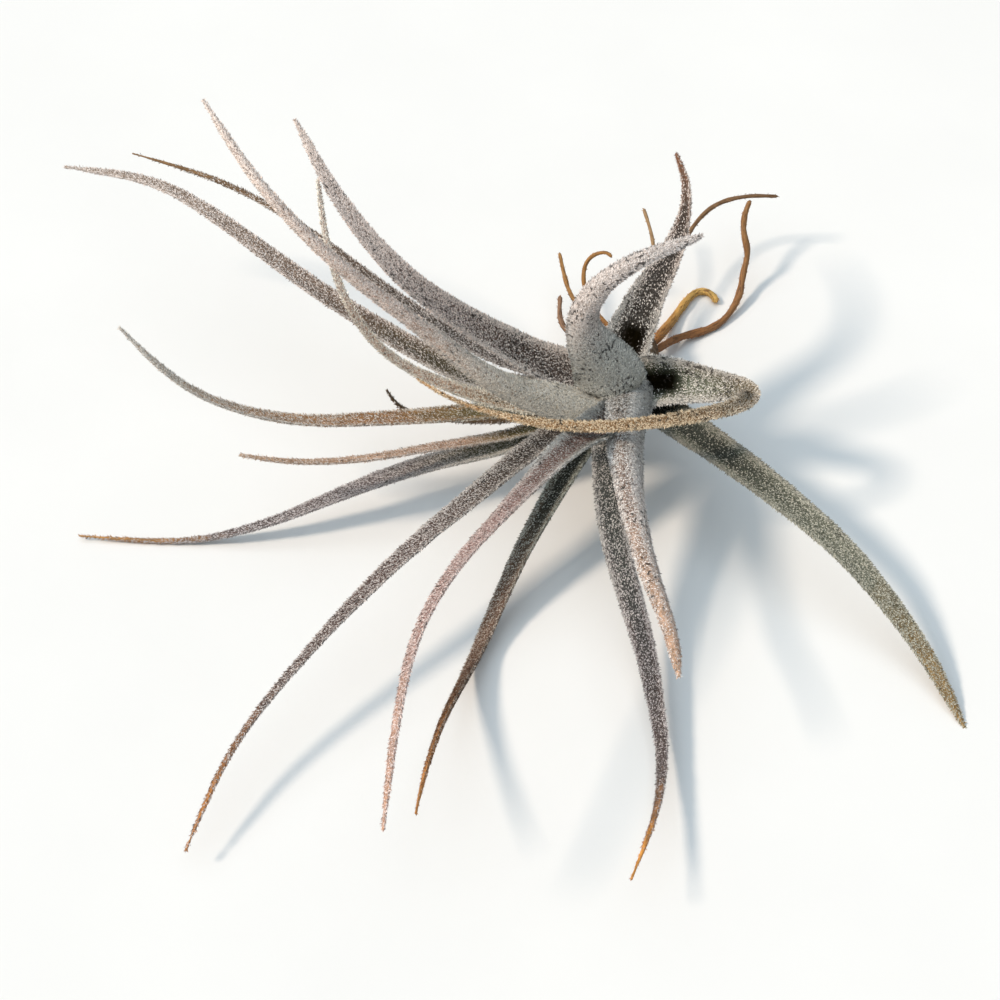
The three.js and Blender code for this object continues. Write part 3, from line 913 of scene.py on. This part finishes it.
def scatter_tree():
    """Geometry Nodes that cover a skin with flakes."""
    tree = bpy.data.node_groups.new("felt", "GeometryNodeTree")
    tree.interface.new_socket("Skin", in_out="INPUT", socket_type="NodeSocketGeometry")
    for title, kind, value in SCATTER_INPUTS:
        socket = tree.interface.new_socket(title, in_out="INPUT", socket_type=kind)
        if value is not None:
            socket.default_value = value
    tree.interface.new_socket("Felt", in_out="OUTPUT", socket_type="NodeSocketGeometry")
    given = tree.nodes.new("NodeGroupInput").outputs

    def named(title, kind="FLOAT"):
        read = node(tree, "GeometryNodeInputNamedAttribute", {"data_type": kind}, Name=title)
        return read.outputs["Attribute"]

    def chance(low, high, kind="FLOAT", offset=0):
        made = tree.nodes.new("FunctionNodeRandomValue")
        made.data_type = kind
        first = 0 if kind == "FLOAT_VECTOR" else 2
        fill(tree, made.inputs[first], low)
        fill(tree, made.inputs[first + 1], high)
        fill(tree, made.inputs["Seed"], math_node(tree, "ADD", given["Seed"], offset))
        return made.outputs[0 if kind == "FLOAT_VECTOR" else 1]

    def spun(pitch, roll, swing):
        lift = math_node(tree, "MULTIPLY", given["Lift"], pitch)
        return node(tree, "ShaderNodeCombineXYZ", X=lift, Y=roll, Z=swing).outputs[0]

    margin = between(tree, named("edge"), MARGIN_START, 1.0)
    closed = between(tree, named("felt"), 0.0, FULL_FELT)
    density = math_node(tree, "MULTIPLY", given["Density"], closed)
    crowd = math_node(tree, "MULTIPLY_ADD", margin, MARGIN_DENSITY, 1.0)
    points = node(tree, "GeometryNodeDistributePointsOnFaces", Mesh=given["Skin"],
                  Density=math_node(tree, "MULTIPLY", density, crowd), Seed=given["Seed"])
    tinted = node(tree, "GeometryNodeStoreNamedAttribute", {"data_type": "FLOAT", "domain": "POINT"},
                  Geometry=points.outputs["Points"], Name="tint", Value=chance(0.0, 1.0, offset=1))
    stand = node(tree, "FunctionNodeAlignRotationToVector", {"axis": "Z"},
                 Vector=points.outputs["Normal"])
    turn = node(tree, "FunctionNodeAlignRotationToVector", {"axis": "Y", "pivot_axis": "Z"},
                Rotation=stand.outputs[0], Vector=named("lean", "FLOAT_VECTOR"))
    spin = chance(spun(*LEAST_SPIN), spun(*MOST_SPIN), "FLOAT_VECTOR", 2)
    spin = node(tree, "FunctionNodeEulerToRotation", Euler=spin)
    rotated = node(tree, "FunctionNodeRotateRotation", {"rotation_space": "LOCAL"},
                   Rotation=turn.outputs[0])
    fill(tree, rotated.inputs[1], spin.outputs[0])
    size = math_node(tree, "MULTIPLY", given["Length"], chance(*SIZE_RANGE, offset=3))
    stretch = math_node(tree, "MULTIPLY_ADD", margin, MARGIN_LENGTH, 1.0)
    longer = math_node(tree, "MULTIPLY", size, stretch)
    size = node(tree, "ShaderNodeCombineXYZ", X=size, Y=longer, Z=size).outputs[0]
    flake = node(tree, "GeometryNodeObjectInfo", Object=given["Flake"])
    placed = node(tree, "GeometryNodeInstanceOnPoints", Points=tinted.outputs[0],
                  Instance=flake.outputs["Geometry"], Rotation=rotated.outputs[0], Scale=size)
    real = node(tree, "GeometryNodeRealizeInstances", Geometry=placed.outputs[0])
    finished = node(tree, "GeometryNodeSetMaterial", Geometry=real.outputs[0], Material=given["Scales"])
    result = tree.nodes.new("NodeGroupOutput")
    fill(tree, result.inputs["Felt"], finished.outputs[0])
    return tree


FELT_TREE = scatter_tree()
FELT_SOCKETS = {item.name: item.identifier for item in FELT_TREE.interface.items_tree}
print("felt tree nodes:", len(FELT_TREE.nodes))

# %% Colour the scales
PATCH_GRAINS = 2.2
PATCH_STRETCH = 1.6
PATCH_WEIGHT = 0.4
TINT_WEIGHT = 0.6
PALE_FROM = 0.81
PALE_BY_FELT = -0.62
PALE_SOFTNESS = 0.16
SCALE_TONES = (0.0, 0.9, 0.5, 1.15)  # low tint, high tint, tone at low, tone at high
THIN_SHARE = 0.12
SCALE_ROUGHNESS = 0.6
SCALE_GLOSS = 0.25


def scale_material(name):
    """The scales of a leaf: some pale, the rest the colour of the skin under them."""
    chosen = FINISHES[name]
    material, tree, shader = new_material(name + "_scales")
    skin, _ = skin_colour(tree, chosen)
    tint = attribute(tree, "tint")
    patches = noise(tree, attribute(tree, "grain", "Vector"), PATCH_GRAINS, PATCH_STRETCH)
    patches = math_node(tree, "MULTIPLY", patches, PATCH_WEIGHT)
    choice = math_node(tree, "MULTIPLY_ADD", tint, TINT_WEIGHT, patches)
    bare = math_node(tree, "MULTIPLY_ADD", attribute(tree, "felt"), PALE_BY_FELT, PALE_FROM)
    pale = between(tree, choice, math_node(tree, "SUBTRACT", bare, PALE_SOFTNESS), bare)
    bright = between(tree, tint, *SCALE_TONES)
    white = mix_colour(tree, 1.0, scale_colour(tree, chosen), bright, "MULTIPLY")
    thin = mix_colour(tree, THIN_SHARE, skin, white)
    colour = flecked(tree, chosen, mix_colour(tree, pale, thin, white))
    coat(tree, shader, colour, SCALE_ROUGHNESS, SCALE_GLOSS)
    return material


# %% Spread the scales over every leaf
FIRST_FELT_SEED = 1


def grow_felt(skin, name, **settings):
    """The flakes that cover a skin, as a plain mesh."""
    holder = skin.copy()
    bpy.context.scene.collection.objects.link(holder)
    modifier = holder.modifiers.new("felt", "NODES")
    modifier.node_group = FELT_TREE
    for title, value in settings.items():
        modifier[FELT_SOCKETS[title]] = value
    graph = bpy.context.evaluated_depsgraph_get()
    mesh = bpy.data.meshes.new_from_object(holder.evaluated_get(graph))
    holder.modifiers.clear()
    bpy.data.objects.remove(holder)
    mesh.name = name
    corners = np.zeros(len(mesh.vertices) * 3)
    mesh.vertices.foreach_get("co", corners)
    corners[2::3] = np.maximum(corners[2::3], 0)
    mesh.vertices.foreach_set("co", corners)
    return add_object(name, mesh)


FELTS = {}
for seed, (name, blade) in enumerate(BLADES.items(), start=FIRST_FELT_SEED):
    scales = scale_material(name)
    FELTS[name] = grow_felt(blade, name + "_felt", Flake=FLAKE, Scales=scales, Seed=seed)
print("scale triangles:", {name: len(piece.data.polygons) for name, piece in FELTS.items()})
print("all scales:", sum(len(piece.data.polygons) for piece in FELTS.values()))

# %% [markdown]
# ## Roots
# The roots are wiry and tough, and only hold the plant to a branch. Dried, they shrink into furrows
# that run along them and into small knots, their tips are blunt, and their bark sheds tiny flakes.
# A curve with a round bevel would be quick, but it is too even. So each root is a tube of rings
# along its solid's midline, and each ring's radius is multiplied by a swell along the root and by
# furrows round it. The flakes of bark come from the same tree as the scales, spread thinly.

# %% Wrap rings round a midline
RING_STEP = 0.24
TUBE_EVENING = 2
START_SIDE = (0.3, 0.2, 1.0)
GRAIN_RELIEF = 3


def carried_frames(forward):
    """Two directions square to each step of a path, carried along it without twisting."""
    side = np.cross(forward[0], START_SIDE)
    sides = []
    for way in forward:
        side = side - way * (side @ way)
        side /= np.linalg.norm(side)
        sides.append(side)
    sides = np.array(sides)
    return sides, np.cross(sides, forward)


def make_tube(name, centre, radius, relief, sides):
    """A closed tube along centre. relief gives a factor on the radius for each ring and angle."""
    lengths = lengths_along(centre)
    wanted = np.linspace(0, lengths[-1], int(lengths[-1] / RING_STEP))
    centre = smoothed(at_lengths(lengths, centre, wanted), TUBE_EVENING)
    radius = at_lengths(lengths, radius, wanted)
    forward = units(np.gradient(centre, axis=0))
    first, second = carried_frames(forward)
    angles = np.linspace(0, 2 * math.pi, sides, endpoint=False)
    factor = relief(wanted[:, None], angles[None, :])
    spokes = (first[:, None, :] * np.cos(angles)[None, :, None]
              + second[:, None, :] * np.sin(angles)[None, :, None])
    points = centre[:, None, :] + spokes * (radius[:, None] * factor)[:, :, None]
    around = angles[None, :] * radius.mean()
    grain = np.stack(np.broadcast_arrays(around, wanted[:, None], factor * GRAIN_RELIEF), axis=2)
    flat = np.repeat(wanted / wanted[-1], sides)
    ends = [0, -1]
    attributes = {
        "along": np.concatenate([flat, [0, 1]]),
        "edge": np.zeros(len(flat) + 2),
        "felt": np.ones(len(flat) + 2),
        "grain": np.vstack([grain.reshape(-1, 3), grain[ends, 0]]),
        "lean": np.vstack([np.repeat(forward, sides, axis=0), forward[ends]]),
    }
    corners = np.vstack([points.reshape(-1, 3), centre[ends]])
    return new_piece(name, corners, closed_skin(*factor.shape), attributes)


# %% Make the roots
ROOT_SIDES = 12
WHOLE_ROOT_SHARE = 0.7
ROOT_MIDLINE_EVENING = 1.5
ROOT_RADIUS_EVENING = 3
ROOT_BEND_BACK = 3
ROOT_GROWTH = 1.06
FURROWS = 5
FURROW_DEPTH = 0.1
FURROW_TURN = 0.5
SWELL = 0.16
SWELL_LENGTH = 1.1
BLUNT_END = 0.5
BLUNT_LEAST = 0.1


def root_relief(length):
    """Furrows, knots and a blunt end for a root of a given length."""
    knots = np.arange(0, length + SWELL_LENGTH, SWELL_LENGTH)
    swells = random.uniform(-SWELL, SWELL, len(knots))
    start = random.uniform(0, 2 * math.pi)

    def relief(at, angle):
        swell = 1 + np.interp(at, knots, swells)
        furrow = 1 + FURROW_DEPTH * np.sin(FURROWS * angle + start + at * FURROW_TURN)
        from_end = np.clip((at.max() - at) / BLUNT_END, 0, 1)
        rounding = BLUNT_LEAST + (1 - BLUNT_LEAST) * from_end * (2 - from_end)
        return swell * furrow * np.sqrt(rounding)

    return relief


def make_root(name):
    """A root as a furrowed tube, from inside the stem to its tip."""
    tip, cuts = WALKS[name]
    radius = np.sqrt(np.array([section["area"] for section in cuts]) / math.pi)[::-1]
    centre = np.array([section["centre"] for section in cuts])[::-1]
    whole = radius > WHOLE_ROOT_SHARE * np.median(radius)
    centre = smoothed(centre[whole], ROOT_MIDLINE_EVENING)
    radius = smoothed(radius[whole], ROOT_RADIUS_EVENING) * ROOT_GROWTH
    bend = into_the_stem(centre[0], units((centre[0] - centre[ROOT_BEND_BACK])[None])[0])
    centre = np.vstack([bend, centre, tip])
    radius = np.concatenate([np.full(len(bend), radius[0]), radius, radius[-1:]])
    relief = root_relief(lengths_along(centre)[-1])
    return make_tube(name + "_bark", centre, radius, relief, ROOT_SIDES)


ROOT_PIECES = {name: make_root(name) for name in ROOTS}
print("root faces:", {name: len(piece.data.polygons) for name, piece in ROOT_PIECES.items()})

# %% [markdown]
# ## The stem
# The stem is short and all but hidden. Below its living leaves it is wrapped in what is left of old
# ones: brown papery rims, one above the other, which slant round it. The solid says where the stem
# runs and how thick it is. Its slices give both, and a saw-toothed relief along it makes the rims.

# %% Make the stem
STEM_SLICES = 26
STEM_CUT_REACH = 6
END_MARGIN = 0.2
STEM_SIDES = 36
RIM_SPACING = 1.25
RIM_HEIGHT = 0.11
RIM_SLANT = 0.55
RIM_TURN = 0.35
RIM_WEAR = (
    # height as a share of the spacing, waves round the stem, radians to the millimetre, start
    (0.25, 3, 0.0, 1),
    (0.12, 7, 0.7, 0),
)
FIBRE_HEIGHT = 0.012
FIBRE_COUNT = 17
FIBRE_SWAY = 2


def stem_slices():
    """The middle and the radius of the stem at even steps, from its root end to its top."""
    points, triangles = merged_solid("stem")
    middle = points.mean(axis=0)
    _, directions = np.linalg.eigh(np.cov((points - middle).T))
    axis = -directions[:, 2] * np.sign(directions[1, 2])
    reach = (points - middle) @ axis
    places = np.linspace(reach.min() + END_MARGIN, reach.max() - END_MARGIN, STEM_SLICES)
    outlines = [cut(points, triangles, middle + axis * at, axis, STEM_CUT_REACH) for at in places]
    slices = [read_cut(*outline, middle + axis * at, axis) for outline, at in zip(outlines, places)]
    centre = np.array([section["centre"] for section in slices])
    return centre, np.sqrt(np.array([section["area"] for section in slices]) / math.pi)


def stem_relief(at, angle):
    """Slanting rims of old leaf bases, with a worn and uneven edge."""
    worn = sum(height * np.sin(waves * angle + at * turn + start)
               for height, waves, turn, start in RIM_WEAR)
    phase = (at / RIM_SPACING + RIM_SLANT * np.sin(angle + at * RIM_TURN) + worn) % 1
    fibres = FIBRE_HEIGHT * np.sin(FIBRE_COUNT * angle + FIBRE_SWAY * np.sin(at))
    return 1 + RIM_HEIGHT * (phase - 0.5) + fibres


stem_centre, stem_radius = stem_slices()
STEM = make_tube("stem_bark", stem_centre, stem_radius, stem_relief, STEM_SIDES)
print("stem faces:", len(STEM.data.polygons), "radius, mm:", stem_radius.round(1))

# %% [markdown]
# ## Bark
# Dry bark is orange to brown, with darker furrows and pale fibres along it. One function makes it
# for the roots and the stem from two colours, the base's and the tip's, and a darker one for the
# furrows. The same noise drives its bump.

# %% Finish the roots and the stem
BARKS = {
    # name: (base, tip, furrows)
    "root_far": ("#a07a52", "#77593c", "#5f4228"),
    "root_curled": ("#8f5f38", "#9c7144", "#5c3c22"),
    "root_looped": ("#a8703c", "#dcb264", "#75481f"),
    "root_left": ("#8a6138", "#b08048", "#5a3e22"),
    "root_hooked": ("#9c6c3a", "#a87840", "#5f4020"),
    "root_short": ("#836550", "#9a7458", "#4f3a2a"),
    "root_pale": ("#b5946c", "#a8865f", "#7c6044"),
    "stem": ("#6b5138", "#8f8573", "#3a2a1c"),
}
BARK_GRAINS = 3.2
BARK_STRETCH = 5.0
BLOTCH_GRAINS = 0.8
BLOTCH_STRETCH = 2.0
BARK_WANDER = 0.5
BARK_BASE_PLACE = 0.15
BARK_TIP_PLACE = 0.95
FURROW_TONES = (0.34, 0.52, 0.85, 0.0)  # low noise, high noise, share at low, share at high
BARK_BUMP = 0.7
BARK_BUMP_DEPTH = 0.12
BARK_ROUGHNESS = 0.62
BARK_GLOSS = 0.35


def bark_material(name, suffix="_bark", lightness=1.0):
    """Dry fibrous bark, from its base to its tip, with darker furrows."""
    base, tip, furrow = (srgb(code, lightness) for code in BARKS[name])
    material, tree, shader = new_material(name + suffix)
    grain = attribute(tree, "grain", "Vector")
    fibres = noise(tree, grain, BARK_GRAINS, BARK_STRETCH)
    blotches = noise(tree, grain, BLOTCH_GRAINS, BLOTCH_STRETCH)
    wander = math_node(tree, "MULTIPLY_ADD", blotches, BARK_WANDER, -BARK_WANDER / 2)
    place = math_node(tree, "ADD", attribute(tree, "along"), wander)
    colour = ramp(tree, place, [(BARK_BASE_PLACE, base), (BARK_TIP_PLACE, tip)])
    colour = mix_colour(tree, between(tree, fibres, *FURROW_TONES), colour, furrow)
    coat(tree, shader, colour, BARK_ROUGHNESS, BARK_GLOSS)
    emboss(tree, shader, fibres, BARK_BUMP, BARK_BUMP_DEPTH)
    return material


BARK_PIECES = {"stem": STEM, **ROOT_PIECES}
for name, piece in BARK_PIECES.items():
    piece.data.materials.append(bark_material(name))
print("bark materials:", len(BARK_PIECES))

# %% Shed flakes of bark
FIRST_SCURF_SEED = 101
SCURF_LIGHTNESS = 1.25
SCURF_SETTINGS = {"Flake": FLAKE, "Density": 9e6, "Lift": 0.5}

SCURFS = {}
for seed, (name, piece) in enumerate(BARK_PIECES.items(), start=FIRST_SCURF_SEED):
    flakes = bark_material(name, "_scurf", SCURF_LIGHTNESS)
    SCURFS[name] = grow_felt(piece, name + "_scurf", Scales=flakes, Seed=seed, **SCURF_SETTINGS)
bpy.data.objects.remove(FLAKE)
print("scurf triangles:", {name: len(piece.data.polygons) for name, piece in SCURFS.items()})

# %% [markdown]
# ## Floor, light and camera
# A white floor, one warm soft light from the left, a wide bluish one from above, and a dim fill from
# all round. The wide one makes the shade deepest right under the plant, and the narrower one gives
# each leaf its own shadow. The camera looks down at the plant at 52 degrees, from its front.

# %% Lay the floor
FLOOR_HALF = 0.6
FLOOR_COLOUR = "#f2f1ef"
FLOOR_CLOUD = 0.97
FLOOR_ROUGHNESS = 0.85
CLOUD_GRAINS = 40.0
CLOUD_PLACES = (0.3, 0.7)


def floor_material():
    """Matt white, with a faint cloud in its colour."""
    material, tree, shader = new_material("floor_white")
    place = node(tree, "ShaderNodeTexCoord").outputs["Object"]
    cloud = node(tree, "ShaderNodeTexNoise", Vector=place, Scale=CLOUD_GRAINS, Detail=4.0)
    low, high = CLOUD_PLACES
    stops = [(low, srgb(FLOOR_COLOUR, FLOOR_CLOUD)), (high, srgb(FLOOR_COLOUR))]
    coat(tree, shader, ramp(tree, cloud.outputs["Fac"], stops), FLOOR_ROUGHNESS)
    return material


floor_mesh = bpy.data.meshes.new("floor")
quarters = ((-1, -1), (1, -1), (1, 1), (-1, 1))
floor_mesh.from_pydata([(x * FLOOR_HALF, y * FLOOR_HALF, 0) for x, y in quarters], [], [(0, 1, 2, 3)])
floor_mesh.materials.append(floor_material())
add_object("floor", floor_mesh)
print("floor, m:", 2 * FLOOR_HALF)

# %% Set the light
KEY_WAY = Vector((0.94, 0.22, -1))
KEY_STRENGTH = 2.19
KEY_ANGLE = 9
KEY_COLOUR = (1.0, 0.85, 0.7)
TOP_WAY = Vector((0.25, 0.0, -1))
TOP_STRENGTH = 1.53
TOP_ANGLE = 70
FILL_STRENGTH = 0.316
SKY_COLOUR = (0.79, 0.91, 1.0)


def add_sun(name, way, strength, angle, colour):
    """A sun that shines one way. A wide angle makes its shadows soft."""
    data = bpy.data.lights.new(name, "SUN")
    data.energy = strength
    data.angle = math.radians(angle)
    data.color = colour
    add_object(name, data).rotation_euler = way.to_track_quat("-Z", "Y").to_euler()
    print(name, "light, degrees above the floor:", round(math.degrees(math.asin(-way.z / way.length))))


add_sun("key", KEY_WAY, KEY_STRENGTH, KEY_ANGLE, KEY_COLOUR)
add_sun("top", TOP_WAY, TOP_STRENGTH, TOP_ANGLE, SKY_COLOUR)
world = bpy.data.worlds.new("room")
bpy.context.scene.world = world
world.use_nodes = True
world.node_tree.nodes["Background"].inputs["Color"].default_value = (*SKY_COLOUR, 1)
world.node_tree.nodes["Background"].inputs["Strength"].default_value = FILL_STRENGTH
bpy.context.scene.view_settings.view_transform = "Standard"

# %% Aim the camera
CAMERA_TARGET = Vector((0.5, 7.12, 0)) * MM
CAMERA_ELEVATION = 52
CAMERA_DISTANCE = 260 * MM
LENS = 85.1
CLIP_START = 10 * MM

camera_data = bpy.data.cameras.new("camera")
camera_data.lens = LENS
camera_data.clip_start = CLIP_START
camera = add_object("camera", camera_data)
elevation = math.radians(CAMERA_ELEVATION)
away = Vector((0, -math.cos(elevation), math.sin(elevation)))
camera.location = CAMERA_TARGET + away * CAMERA_DISTANCE
camera.rotation_euler = (-away).to_track_quat("-Z", "Y").to_euler()
bpy.context.scene.camera = camera
print("camera, mm:", [round(value / MM) for value in camera.location])

# %% [markdown]
# ## Attach the pieces
# Every piece rides on the one body, "root". A blade, a root's bark or the stem's stands for its
# solid, which is hidden, and the scales or flakes on it ride along.

# %% Attach the pieces
for skins, covers in ((BLADES, FELTS), (BARK_PIECES, SCURFS)):
    for name, skin in skins.items():
        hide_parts(name)
        for piece in (skin, covers[name]):
            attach(piece, "root")
